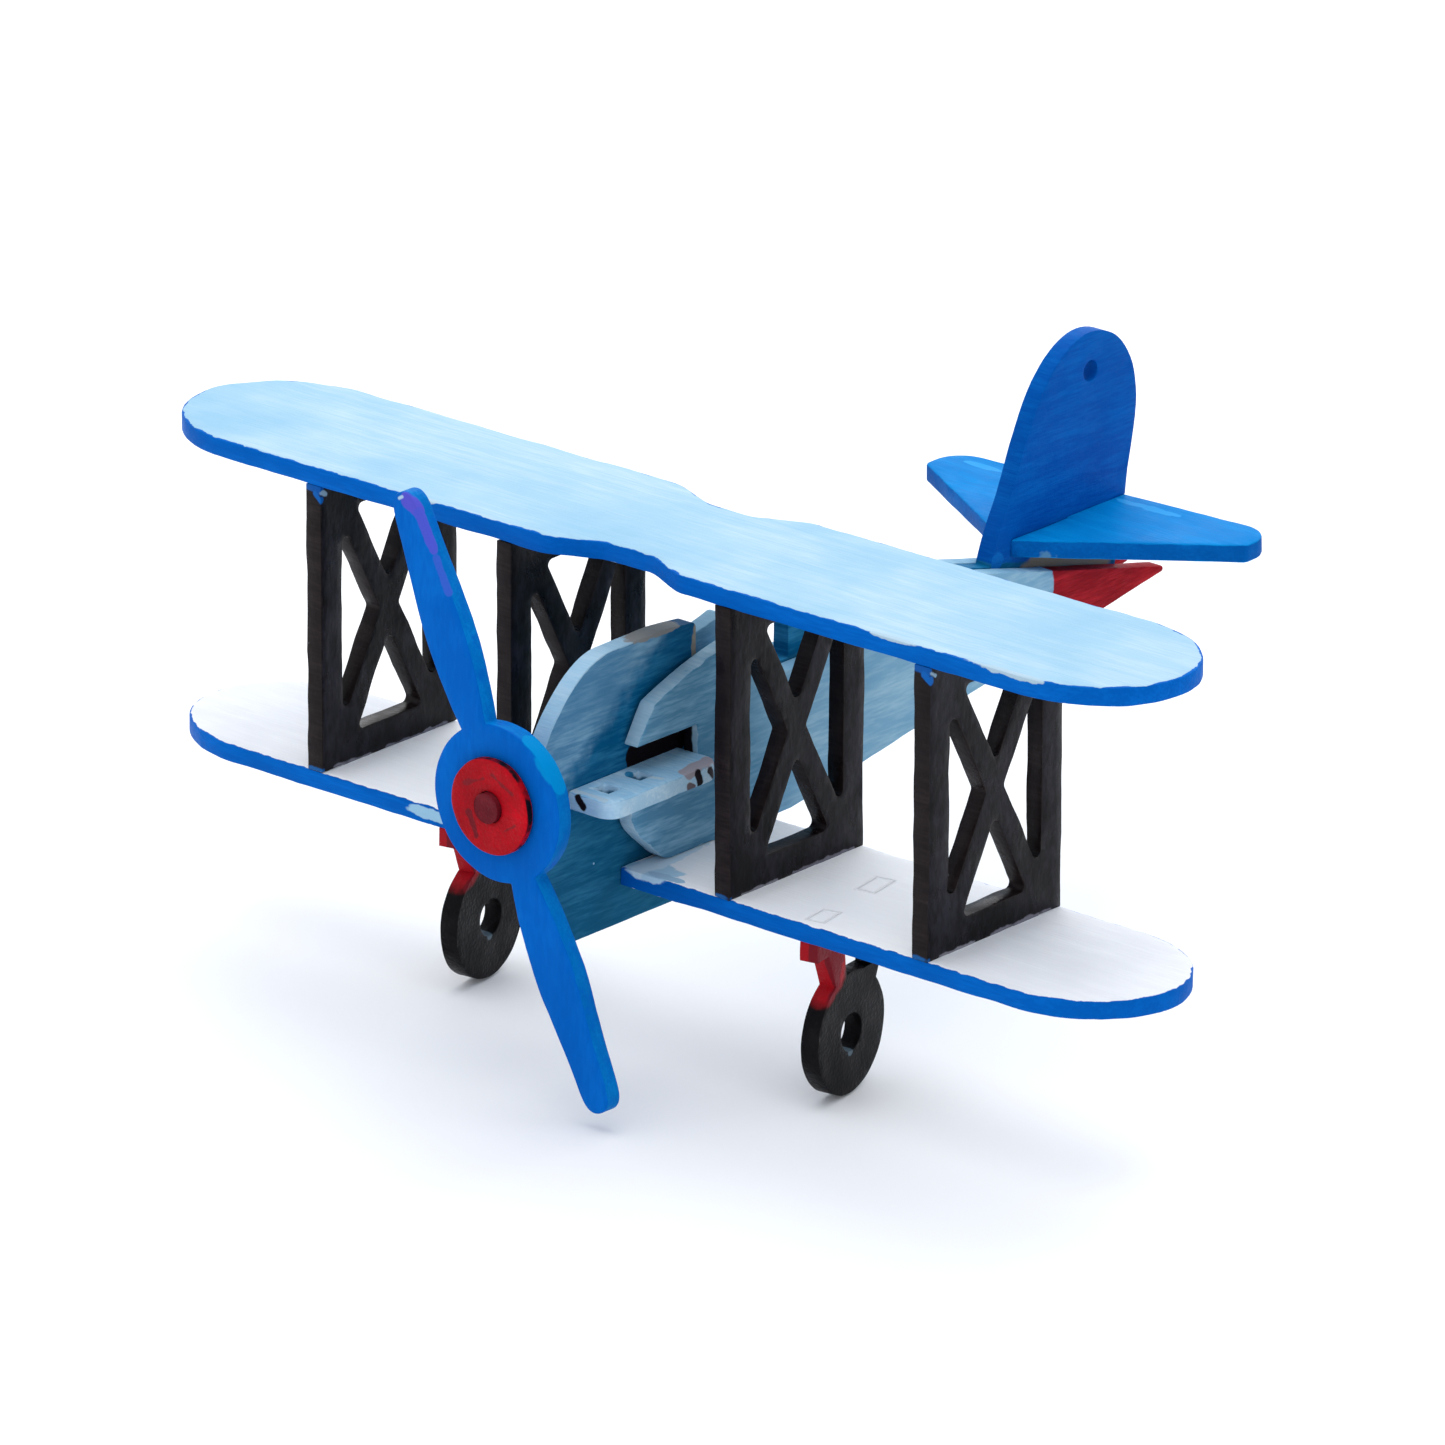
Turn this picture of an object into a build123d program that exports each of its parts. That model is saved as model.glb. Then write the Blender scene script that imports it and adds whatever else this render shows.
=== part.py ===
from build123d import *
import os

# A slot-together plywood biplane model. Its plates are cut from one thickness of sheet and joined to their
# neighbours by tabs through slots or by cross-halving, where two plates are each slotted half way. Only the
# propeller's pin is a dowel, and the cap on it a thin disc.
# +X is the aeroplane's left (port) wing tip, -Y its nose, +Z up. Sizes are in millimetres.
# The outlines are drawn with y = 0 at the wings' leading edge and z = 0 on top of the lower wing, and each
# finished piece is moved so that the origin is under the middle of the model, level with the wheels' lowest
# point.

# ---- sheet and fits ----
ply = 3.0                  # sheet thickness of every piece
slot_fit = 0.05            # clearance on each side of a tab in its slot
side_gap = 0.6             # air between the centre plate and each fuselage side
overrun = 1.0              # how far a cutter or a tab is drawn past the edge it crosses

# ---- wings ----
chord = 31.3               # leading edge to trailing edge
wing_gap = 46.9            # clear height between the wings
upper_half_span = 98.0
lower_half_span = 97.0
tip_length = 18.5          # length of the rounded tip
cutout_width = 26.0        # hollow in the middle of the upper wing's edges
cutout_floor = 9.0         # flat part of the hollow
cutout_depth = 3.9
cutout_rounding = 7.0

# ---- wing struts: four braced frames ----
inner_frame_x = 22.0
outer_frame_x = 61.0
stile = 4.8                # width of a frame's uprights
rail = 4.9                 # height of its top and bottom rails
brace = 3.8                # width of the crossed braces
brace_reach = 12.3         # from the middle of the frame to a brace's centre line, at the frame's top
frame_tab = 6.0
frame_tab_inset = 8.0      # from the frame's edge to the middle of the tab
corner_rounding = 0.9

# ---- centre plate: nose, keel, spine and fin ----
axis_z = 17.3              # height of the propeller's axis
nose_y = -23.3             # shoulder that the propeller turns against
nose_boss = 9.0            # height of the shoulder
cowl_front = -18.4
cowl_brow = (-12.3, 30.3)  # a point on the cowl's rounded front
cowl_top = 35.5
cowl_crest = (-1.0, 9.6)   # both ends of the cowl's flat top
cowl_droop = 0.7           # its fall from there to the cockpit
keel_depth = 9.2           # below the top of the lower wing
keel_corner = 6.0
keel_tail = 12.0           # length of the keel's rounded rear end
keel_step = 1.5            # height of its rear face below the wing
cockpit_floor = 23.0
cowl_rear = 17.6           # front wall of the cockpit in the centre plate
headrest_y = 39.3
headrest_z = 33.0
headrest_bevel = 3.7
headrest_rounding = 1.5
cowl_rounding = 1.0
spine_y, spine_z = 46.7, 34.5
belly_start = 36.0
tail_end = 126.6           # rear tip of the fuselage
tail_underside = 14.3      # height of the tip's lower corner
tail_tip = 0.85            # height of the blunt tip
fin_foot = 87.8
fin_curve = [(92.8, 35.0), (98.4, 47.1), (104.5, 54.4), (111.4, 57.1), (119.3, 54.2), (123.1, 47.5)]
fin_heel = (121.1, 27.9)
plate_tail = 118.0
hang_hole = (112.0, 50.7)
hang_radius = 1.75

# ---- fuselage sides ----
side_nose = -1.4
side_lobe = (3.7, 2.7)     # a point on the rounded chin
side_seat = 8.0            # where the chin meets the lower wing
side_shoulder = (3.9, 26.0)
side_rim = (29.0, 33.0)    # front edge of the cockpit opening
deck_mouth = 7.5           # height of the open slot that takes the engine deck
side_crest = (17.7, 30.3)  # a point on the edge that climbs to the cockpit
side_step = 2.5            # straight edge under the deck before the chin's curve
mouth_lean = 1.4           # the upper lip of the slot stands this far behind the lower one
side_rounding = 1.2
sill_rounding = 2.0
side_tab = 10.0
side_tab_y = 23.0

# ---- engine deck ----
deck_z = 12.5
deck_front, deck_back = -11.7, 14.0
deck_half_width = 10.0
deck_corner = 3.0
deck_hole = 3.0
deck_hole_x = 4.7
deck_hole_y = (-6.8, 0.8)

# ---- tailplane ----
tailplane_z = 24.8
tailplane_root = 92.1      # the leading edge's point, in the middle
tailplane_half_span = 31.3
tailplane_tip = 113.4      # the leading edge's end, at the tip
tailplane_back = 121.2     # trailing edge
tailplane_corner = 5.5     # radius at the trailing edge's ends
tailplane_rounding = 1.25  # radius at the leading edge's ends
tailplane_skew = 3.0       # degrees: glued a little askew, the port tip further back

# ---- propeller, its pin and cap ----
prop_radius = 49.2
hub_radius = 12.5
prop_rest = 23.0           # degrees from upright, the top blade towards starboard
blade_kink = 1.8           # degrees by which the lower blade is out of line with the upper one
blade_neck = 4.8           # blade width where it leaves the hub
blade_root = 1.25          # how far the blade is drawn into the hub
blade_belly, blade_belly_at = 8.2, 28.0     # its greatest width, and how far out that is
blade_end, blade_end_at = 5.8, 43.0         # its width near the tip
pin_radius = 2.4
pin_fork = 4.5             # length of the saw cut that straddles the centre plate's nose
bore_clearance = 0.08      # around the pin, in the propeller's bore
end_play = 0.2             # on each side of the propeller, along its axis
cap_radius = 7.6
cap_thickness = 1.5
pin_proud = 0.8            # the pin stands this far out of the cap

# ---- landing gear ----
gear_port_x = 37.3
gear_starboard_x = -35.7   # a little nearer the middle, as both are set in by hand
gear_toe = 9.5             # degrees: both plates stand turned the same way
wheel_radius = 9.8
wheel_y, wheel_z = 10.4, -20.5
wheel_hole = 3.1
stub_front, stub_depth = 0.3, 3.0
leg_front, leg_back = 3.7, 7.6          # the front leg: its front under the stub, its back at the wing
leg_lean_front, leg_lean_back = 2.8, 1.4    # how much further back its foot's front and back stand
leg_foot = 2.0                          # its front edge ends this far below the window's floor
window_floor = -11.3
arm_front, arm_back = 16.4, 23.2        # the rear arm: its front at the window's floor, its back at the wing
arm_lean = 0.5                          # its front edge stands this much further back at the wing
arm_heel = ((1.3, 2.6), (2.0, 1.2))     # corners at its foot: behind arm_front, below the window's floor
gear_tabs = ((4.5, 5.0), (19.8, 6.0))   # middle and length of each tab

# ---- worked out from the sizes above ----
side_middle = ply / 2 + side_gap + ply / 2      # middle of a fuselage side
prop_back = nose_y - end_play
cap_back = prop_back - ply - end_play
pin_end = cap_back - cap_thickness - pin_proud
spine_fall = (spine_z - tail_underside - tail_tip) / (tail_end - spine_y)
belly_rise = tail_underside / (tail_end - belly_start)
length_middle = (pin_end + tail_end) / 2
wheel_bottom = wheel_z - wheel_radius


def upright(outline, x):
    """A plate standing fore and aft, its middle at x. The outline is drawn in y and z."""
    return extrude(Plane.YZ.offset(x - ply / 2) * outline, ply)


def level(outline, z):
    """A plate lying flat, its underside at z. The outline is drawn in x and y."""
    return extrude(Pos(0, 0, z) * outline, ply)


def across(outline, back, thickness=ply):
    """A plate standing across the model, its back at the given y. The outline is drawn in x and z."""
    return extrude(Plane.XZ.offset(-back) * outline, thickness)


def slab(u_low, u_high, v_low, v_high):
    """A rectangle between two corners."""
    size = Rectangle(u_high - u_low, v_high - v_low, align=(Align.MIN, Align.MIN))
    return Pos(u_low, v_low) * size


def near(shape, places, reach=0.6):
    """The corners of a flat outline that lie at the given places."""
    return [v for v in shape.vertices()
            if any(abs(v.X - u) < reach and abs(v.Y - w) < reach for u, w in places)]


def spine(y):
    """Height of the fuselage's straight top."""
    return spine_z - spine_fall * (y - spine_y)


def belly(y):
    """Height of the fuselage's straight underside."""
    return belly_rise * (y - belly_start)


def tab_slot(x, y, length):
    """The slot in a wing for one tab of an upright plate."""
    return Pos(x, y) * Rectangle(ply + 2 * slot_fit, length + 2 * slot_fit)


def wing_outline(half_span):
    straight = half_span - tip_length
    body = Pos(0, chord / 2) * Rectangle(2 * straight, chord)
    tip = Ellipse(tip_length, chord / 2)
    return body + Pos(straight, chord / 2) * tip + Pos(-straight, chord / 2) * tip


def edge_hollow(y, depth):
    """A shallow hollow in a wing's edge at y. It goes into the wing by depth, which has a sign."""
    half, floor = cutout_width / 2, cutout_floor / 2
    points = [(-half, y), (-floor, y + depth), (floor, y + depth), (half, y), (half, y - depth),
              (-half, y - depth)]
    return make_face(Polyline(*points, close=True))


def frame_tab_places():
    return (frame_tab_inset, chord - frame_tab_inset)


def frame_places():
    return (-outer_frame_x, -inner_frame_x, inner_frame_x, outer_frame_x)


def gear_tab_slots():
    """Slots for both landing gear plates, which stand turned by gear_toe about their wheels' centres."""
    slots = []
    for x in (gear_starboard_x, gear_port_x):
        for middle, length in gear_tabs:
            turned = Pos(x, wheel_y) * Rot(0, 0, gear_toe)
            slots.append(turned * tab_slot(0, middle - wheel_y, length))
    return slots


def upper_wing():
    outline = wing_outline(upper_half_span)
    outline -= edge_hollow(0, cutout_depth)
    outline -= edge_hollow(chord, -cutout_depth)
    bends = []
    for y, depth in ((0, cutout_depth), (chord, -cutout_depth)):
        bends += [(s * cutout_width / 2, y) for s in (-1, 1)]
        bends += [(s * cutout_floor / 2, y + depth) for s in (-1, 1)]
    outline = fillet(near(outline, bends), cutout_rounding)
    for x in frame_places():
        for y in frame_tab_places():
            outline -= tab_slot(x, y, frame_tab)
    return level(outline, wing_gap)


def lower_wing():
    outline = wing_outline(lower_half_span)
    outline -= slab(-ply / 2 - slot_fit, ply / 2 + slot_fit, -overrun, chord / 2 + slot_fit)
    for x in frame_places():
        for y in frame_tab_places():
            outline -= tab_slot(x, y, frame_tab)
    for side in (-1, 1):
        outline -= tab_slot(side * side_middle, side_tab_y, side_tab)
    for slot in gear_tab_slots():
        outline -= slot
    return level(outline, -ply)


def strut_frame(x):
    """One braced frame: two uprights, two rails and crossed braces, with tabs into both wings."""
    middle_y, middle_z = chord / 2, wing_gap / 2
    hole = slab(stile, chord - stile, rail, wing_gap - rail)
    for side in (-1, 1):
        ends = [(middle_y - side * brace_reach, 0), (middle_y + side * brace_reach, wing_gap)]
        lean = Vector(ends[1][0] - ends[0][0], wing_gap)
        angle = lean.get_angle(Vector(0, 1))
        bar = Rectangle(brace, 2 * lean.length)
        hole -= Pos(middle_y, middle_z) * Rot(0, 0, -side * angle) * bar
    holes = fillet(hole.vertices(), corner_rounding)
    outline = slab(0, chord, 0, wing_gap) - holes
    for y in frame_tab_places():
        outline += slab(y - frame_tab / 2, y + frame_tab / 2, -ply, wing_gap + ply)
    outline -= holes
    return upright(outline, x)


def centre_plate():
    """Nose, keel, cowl, cockpit, spine and fin in one plate, slotted for the wing, deck and tailplane."""
    top, bottom = axis_z + nose_boss / 2, axis_z - nose_boss / 2
    crest_start, crest_end = cowl_crest
    brow_foot = (cowl_front, top)
    cowl_lip = (cowl_rear, cowl_top - cowl_droop)
    headrest = (headrest_y, headrest_z)
    headrest_end = (headrest_y + headrest_bevel, spine(headrest_y + headrest_bevel))
    foot = (fin_foot, spine(fin_foot))
    tail_foot = (plate_tail, belly(plate_tail))
    over = [
        Line((nose_y, bottom), (nose_y, top)),
        Line((nose_y, top), brow_foot),
        Spline(brow_foot, cowl_brow, (crest_start, cowl_top), tangents=((0.45, 1), (1, 0))),
        Line((crest_start, cowl_top), (crest_end, cowl_top)),
        Line((crest_end, cowl_top), cowl_lip),
        Line(cowl_lip, (cowl_rear, cockpit_floor)),
        Line((cowl_rear, cockpit_floor), (headrest_y, cockpit_floor)),
        Line((headrest_y, cockpit_floor), headrest),
        Line(headrest, headrest_end),
        Line(headrest_end, foot),
        Spline(foot, *fin_curve, fin_heel, tangents=((0.35, 1), (-0.12, -1))),
        Line(fin_heel, tail_foot),
        Line(tail_foot, (belly_start, 0)),
    ]
    keel_back = (belly_start, -ply - keel_step)
    keel_rear = (belly_start - keel_tail, -keel_depth)
    keel_front = (cowl_front + keel_corner, -keel_depth)
    chin = (cowl_front, keel_corner - keel_depth)
    under = [
        Line((belly_start, 0), keel_back),
        Spline(keel_back, keel_rear, tangents=((-1, -0.2), (-1, 0))),
        Line(keel_rear, keel_front),
        TangentArc(keel_front, chin, tangent=(-1, 0)),
        Line(chin, (cowl_front, bottom)),
        Line((cowl_front, bottom), (nose_y, bottom)),
    ]
    outline = make_face(over + under)
    outline = fillet(near(outline, [cowl_lip]), cowl_rounding)
    outline = fillet(near(outline, [headrest]), headrest_rounding)
    outline -= slab(chord / 2, belly_start + overrun, -ply - slot_fit, 0)
    outline -= slab(deck_front - slot_fit, deck_back + slot_fit, deck_z, deck_z + ply + slot_fit)
    outline -= slab(tail_cross(), tailplane_back + overrun, tailplane_z, tailplane_z + ply + slot_fit)
    outline -= Pos(*hang_hole) * Circle(hang_radius)
    return upright(outline, 0)


def tail_cross():
    """Where the tailplane's slot and the fin's slot meet."""
    return (tailplane_root + tailplane_back) / 2


def fuselage_side(side):
    """One side of the fuselage: chin, open slot for the deck, cowl, cockpit opening and tapering tail."""
    mouth_top = deck_z + deck_mouth
    lip = (side_nose + mouth_lean, mouth_top)
    chin = (side_nose, deck_z - side_step)
    spine_end = (spine_y, spine_z)
    sill_front, sill_back = (side_rim[0], cockpit_floor), (spine_y, cockpit_floor)
    outline = make_face([
        Line((side_seat, 0), (belly_start, 0)),
        Line((belly_start, 0), (tail_end, belly(tail_end))),
        Line((tail_end, belly(tail_end)), (tail_end, spine(tail_end))),
        Line((tail_end, spine(tail_end)), spine_end),
        Line(spine_end, sill_back),
        Line(sill_back, sill_front),
        Line(sill_front, side_rim),
        Spline(side_rim, side_crest, side_shoulder, tangents=((-1, -0.45), (-1, -0.4))),
        Line(side_shoulder, lip),
        Line(lip, (deck_back, mouth_top)),
        Line((deck_back, mouth_top), (deck_back, deck_z)),
        Line((deck_back, deck_z), (side_nose, deck_z)),
        Line((side_nose, deck_z), chin),
        Spline(chin, side_lobe, (side_seat, 0), tangents=((0.1, -1), (1, -0.12))),
    ])
    outline = fillet(near(outline, [side_shoulder, spine_end, side_rim]), side_rounding)
    outline = fillet(near(outline, [sill_front, sill_back]), sill_rounding)
    outline += slab(side_tab_y - side_tab / 2, side_tab_y + side_tab / 2, -ply, overrun)
    return upright(outline, side * side_middle)


def engine_deck():
    """The flat plate that sticks out on both sides of the nose, with four square holes."""
    outline = slab(-deck_half_width, deck_half_width, deck_front, deck_back)
    outline = fillet(outline.vertices(), deck_corner)
    for x in (-deck_hole_x, deck_hole_x):
        for y in deck_hole_y:
            outline -= Pos(x, y) * Rectangle(deck_hole, deck_hole)
    return level(outline, deck_z)


def tailplane():
    half, trailing = tailplane_half_span, tailplane_back
    points = [(0, tailplane_root), (half, tailplane_tip), (half, trailing), (-half, trailing),
              (-half, tailplane_tip)]
    outline = make_face(Polyline(*points, close=True))
    outline = fillet(near(outline, [(-half, trailing), (half, trailing)]), tailplane_corner)
    outline = fillet(near(outline, [(-half, tailplane_tip), (half, tailplane_tip)]), tailplane_rounding)
    outline = Pos(0, tail_cross()) * Rot(0, 0, tailplane_skew) * Pos(0, -tail_cross()) * outline
    slot_start = tailplane_root - 2 * overrun
    outline -= slab(-ply / 2 - slot_fit, ply / 2 + slot_fit, slot_start, tail_cross() + slot_fit)
    return level(outline, tailplane_z)


def propeller():
    """A flat two-bladed propeller with a round hub, turning on the pin."""
    root = (blade_neck / 2, hub_radius - blade_root)
    belly_point = (blade_belly / 2, blade_belly_at)
    end_point = (blade_end / 2, blade_end_at)
    edge = Spline(root, belly_point, end_point, (0, prop_radius), tangents=((0.2, 1), (-1, 0)))
    half = make_face([Line((0, root[1]), root), edge, Line((0, prop_radius), (0, root[1]))])
    blade = half + mirror(half, about=Plane.YZ)
    outline = Circle(hub_radius) + blade + Rot(0, 0, 180 + blade_kink) * blade
    outline -= Circle(pin_radius + bore_clearance)
    return across(Pos(0, axis_z) * Rot(0, 0, prop_rest) * outline, prop_back)


def propeller_pin():
    """The dowel that carries the propeller. Its saw cut end is glued astride the centre plate's nose."""
    fork_end = nose_y + pin_fork
    pin = across(Pos(0, axis_z) * Circle(pin_radius), fork_end, fork_end - pin_end)
    saw_cut = Pos(0, nose_y + pin_fork / 2, axis_z) * Box(ply, pin_fork, 2 * pin_radius)
    return pin - saw_cut


def propeller_cap():
    """The disc glued on the pin's end, which keeps the propeller on."""
    outline = Pos(0, axis_z) * (Circle(cap_radius) - Circle(pin_radius))
    return across(outline, cap_back, cap_thickness)


def landing_gear(x):
    """Wheel, front leg and rear arm in one plate, with two tabs up into the lower wing."""
    roof = -ply
    ring = Pos(wheel_y, wheel_z) * Circle(wheel_radius)
    stub_bottom = roof - stub_depth
    heel = [(arm_front + behind, window_floor - below) for behind, below in arm_heel]
    leg = make_face(Polyline(
        (stub_front, roof), (stub_front, stub_bottom), (leg_front, stub_bottom),
        (leg_front + leg_lean_front, window_floor - leg_foot), (wheel_y, wheel_z),
        (leg_back + leg_lean_back, window_floor), (leg_back, roof), close=True))
    arm = make_face(Polyline(
        (arm_front + arm_lean, roof), (arm_front, window_floor), (wheel_y, wheel_z), *heel,
        (arm_back, roof), close=True))
    bridge = slab(leg_back + leg_lean_back, arm_front, wheel_z, window_floor)
    outline = ring + leg + arm + bridge
    outline -= Pos(wheel_y, wheel_z) * Circle(wheel_hole)
    for middle, length in gear_tabs:
        outline += slab(middle - length / 2, middle + length / 2, roof - overrun, 0)
    plate = upright(Pos(-wheel_y, 0) * outline, 0)
    return Pos(x, wheel_y, 0) * Rot(0, 0, gear_toe) * plate


pieces = {
    "upper_wing": upper_wing(),
    "lower_wing": lower_wing(),
    "strut_frame_starboard_outer": strut_frame(-outer_frame_x),
    "strut_frame_starboard_inner": strut_frame(-inner_frame_x),
    "strut_frame_port_inner": strut_frame(inner_frame_x),
    "strut_frame_port_outer": strut_frame(outer_frame_x),
    "centre_plate": centre_plate(),
    "fuselage_side_port": fuselage_side(1),
    "fuselage_side_starboard": fuselage_side(-1),
    "engine_deck": engine_deck(),
    "tailplane": tailplane(),
    "propeller": propeller(),
    "propeller_pin": propeller_pin(),
    "propeller_cap": propeller_cap(),
    "landing_gear_port": landing_gear(gear_port_x),
    "landing_gear_starboard": landing_gear(gear_starboard_x),
}

os.makedirs("parts", exist_ok=True)
to_origin = Pos(0, -length_middle, -wheel_bottom)
for name, piece in pieces.items():
    placed = to_origin * piece
    export_step(placed, f"parts/{name}.step")
    print(f"{name}: {placed.volume:.0f} mm3")
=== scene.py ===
# %% [markdown]
# This lesson paints a small plywood biplane by hand. Its plates come from the CAD model as a fixed frame,
# so nothing here decides a size: each plate is copied, its edges are softened, and a painted finish is laid
# on it. The first cell loads the frame.

# %% Load the frame
import math
import bpy
from mathutils import Matrix, Vector
from mathutils.bvhtree import BVHTree


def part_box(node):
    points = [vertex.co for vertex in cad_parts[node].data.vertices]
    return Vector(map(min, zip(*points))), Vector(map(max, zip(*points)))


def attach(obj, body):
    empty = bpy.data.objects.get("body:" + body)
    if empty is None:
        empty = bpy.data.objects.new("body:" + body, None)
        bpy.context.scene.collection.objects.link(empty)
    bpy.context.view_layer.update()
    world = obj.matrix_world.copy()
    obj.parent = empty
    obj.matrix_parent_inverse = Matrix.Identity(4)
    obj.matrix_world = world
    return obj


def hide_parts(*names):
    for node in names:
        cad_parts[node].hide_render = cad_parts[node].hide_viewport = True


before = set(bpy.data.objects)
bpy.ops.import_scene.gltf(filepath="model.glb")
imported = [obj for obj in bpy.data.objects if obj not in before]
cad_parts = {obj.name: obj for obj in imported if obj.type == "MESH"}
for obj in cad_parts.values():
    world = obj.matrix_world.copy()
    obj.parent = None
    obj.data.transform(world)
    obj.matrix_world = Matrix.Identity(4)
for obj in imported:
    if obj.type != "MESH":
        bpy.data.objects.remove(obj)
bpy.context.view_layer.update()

print("nodes:", ", ".join(sorted(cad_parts)))

# %% [markdown]
# Painters of small models think in millimetres from a corner they can touch. Here that corner is the lower
# wing's leading edge, on its top face: y grows towards the tail and z upwards. The frame is in metres, so
# these two values turn one into the other for every patch of paint below.

# %% Where the paint is measured from
MM = 0.001
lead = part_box("lower_wing")[0].y
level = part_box("lower_wing")[1].z
wing_top = (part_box("upper_wing")[1].z - level) / MM
wing_under = (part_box("upper_wing")[0].z - level) / MM
chord = (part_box("lower_wing")[1].y - lead) / MM
print(f"leading edge at y = {lead:.4f} m, wing top at z = {level:.4f} m, chord {chord:.1f} mm")


def in_frame(x, y, z):
    """A point given in millimetres from the lower wing's leading edge, in the frame's metres."""
    return Vector((x * MM, lead + y * MM, level + z * MM))


# %% [markdown]
# The camera comes first, because it decides what needs the most care. A long lens from far away keeps the
# wings nearly parallel, as in a catalogue picture. It is aimed by turning a plain camera matrix: azimuth
# about the vertical, elevation above the floor, and a slight roll.

# %% Camera
AZIMUTH, ELEVATION, ROLL = math.radians(40.632), math.radians(20.461), math.radians(0.203)
EYE = in_frame(1307.35, -1497.93, 764.86)
SENSOR, LENS = 36.0, 348.8

back = Vector((math.sin(AZIMUTH) * math.cos(ELEVATION), -math.cos(AZIMUTH) * math.cos(ELEVATION),
               math.sin(ELEVATION)))
right = Vector((math.cos(AZIMUTH), math.sin(AZIMUTH), 0))
up = back.cross(right)
rolled_right = right * math.cos(ROLL) + up * math.sin(ROLL)
rolled_up = up * math.cos(ROLL) - right * math.sin(ROLL)
camera_data = bpy.data.cameras.new("camera")
camera_data.sensor_width, camera_data.lens = SENSOR, LENS
camera_data.clip_end = 20
camera = bpy.data.objects.new("camera", camera_data)
bpy.context.scene.collection.objects.link(camera)
camera.matrix_world = Matrix.Translation(EYE) @ Matrix((rolled_right, rolled_up, back)).transposed().to_4x4()
bpy.context.scene.camera = camera
print("camera at", [round(v, 3) for v in EYE])

# %% [markdown]
# The set is a pale floor with soft light, as in a small product studio. One wide softbox hangs overhead. A
# wider one stands behind and reaches in between the wings, so every top is bright, the faces towards the
# camera are darker, and shadows stay soft. The Standard view transform keeps the pure colours of craft
# paint. The floor lies a little below the wheels, so that the two surfaces never flicker into each other.

# %% Floor and light
FLOOR_SIDE, FLOOR_DROP, FLOOR_HEX, FLOOR_ROUGHNESS = 6.0, 0.0004, "f4f5f6", 0.9
SKY_HEX, SKY_STRENGTH = "f6f9ff", 0.95
LIT_SPOT = (0, 0, 0.04)


def paint(text):
    """An sRGB hex colour as the linear RGBA that the shaders use."""
    parts = [int(text[i:i + 2], 16) / 255 for i in (0, 2, 4)]
    return tuple(c / 12.92 if c <= 0.04045 else ((c + 0.055) / 1.055) ** 2.4 for c in parts) + (1.0,)


def add(tree, kind, links=None, **settings):
    """Adds one node, with its settings, and with a value or a link on each named input."""
    node = tree.nodes.new("ShaderNode" + kind)
    for name, value in settings.items():
        setattr(node, name, value)
    for socket, value in (links or {}).items():
        if isinstance(value, bpy.types.NodeSocket):
            tree.links.new(value, node.inputs[socket])
        else:
            node.inputs[socket].default_value = value
    return node


def softbox(name, size, watts, place, target):
    """A square area light at a place, turned towards a target. Both are in metres."""
    lamp = bpy.data.lights.new(name, "AREA")
    lamp.size, lamp.energy = size, watts
    holder = bpy.data.objects.new(name, lamp)
    bpy.context.scene.collection.objects.link(holder)
    holder.location = place
    holder.rotation_euler = (Vector(target) - Vector(place)).to_track_quat("-Z", "Y").to_euler()


bpy.ops.object.select_all(action="DESELECT")
bpy.ops.mesh.primitive_plane_add(size=FLOOR_SIDE, location=(0, 0, -FLOOR_DROP))
floor = bpy.context.active_object
floor.name = "floor"
floor_paint = bpy.data.materials.new("matt_studio_board")
floor_paint.use_nodes = True
floor_shader = floor_paint.node_tree.nodes["Principled BSDF"]
floor_shader.inputs["Base Color"].default_value = paint(FLOOR_HEX)
floor_shader.inputs["Roughness"].default_value = FLOOR_ROUGHNESS
floor.data.materials.append(floor_paint)

world = bpy.data.worlds.new("studio")
world.use_nodes = True
sky = world.node_tree.nodes["Background"]
sky.inputs["Color"].default_value = paint(SKY_HEX)
sky.inputs["Strength"].default_value = SKY_STRENGTH
bpy.context.scene.world = world
bpy.context.scene.view_settings.view_transform = "Standard"
softbox("overhead", 0.9, 3.2, (-0.05, 0.0, 0.95), LIT_SPOT)
softbox("behind", 1.4, 11.5, (-0.55, 1.0, 0.95), LIT_SPOT)

# %% [markdown]
# A CAD plate arrives as loose triangles with knife-sharp corners. A real laser-cut or sawn plate, once
# sanded and painted, has edges rounded by a few tenths of a millimetre. So each plate is copied, its doubles
# are merged, flat triangles are dissolved into whole faces, and a bevel of two segments rounds every corner.

# %% Copying a plate
MERGE = 0.01 * MM
FLAT = math.radians(1.0)
SHARP = math.radians(38)


def take_plate(node):
    """A merged copy of a CAD plate, alone in the selection and ready to be worked on."""
    bpy.ops.object.select_all(action="DESELECT")
    piece = bpy.data.objects.new("painted_" + node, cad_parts[node].data.copy())
    bpy.context.scene.collection.objects.link(piece)
    piece.data.materials.clear()
    bpy.context.view_layer.objects.active = piece
    piece.select_set(True)
    bpy.ops.mesh.customdata_custom_splitnormals_clear()
    bpy.ops.object.mode_set(mode="EDIT")
    bpy.ops.mesh.select_all(action="SELECT")
    bpy.ops.mesh.remove_doubles(threshold=MERGE)
    bpy.ops.mesh.dissolve_limited(angle_limit=FLAT)
    bpy.ops.object.mode_set(mode="OBJECT")
    return piece


def soften(piece, width=0.35):
    """Rounds the plate's corners with a bevel that is a few tenths of a millimetre wide."""
    bevel = piece.modifiers.new("sanded edges", "BEVEL")
    bevel.width, bevel.segments, bevel.limit_method, bevel.angle_limit = width * MM, 2, "ANGLE", SHARP
    bpy.ops.object.modifier_apply(modifier=bevel.name)


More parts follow.
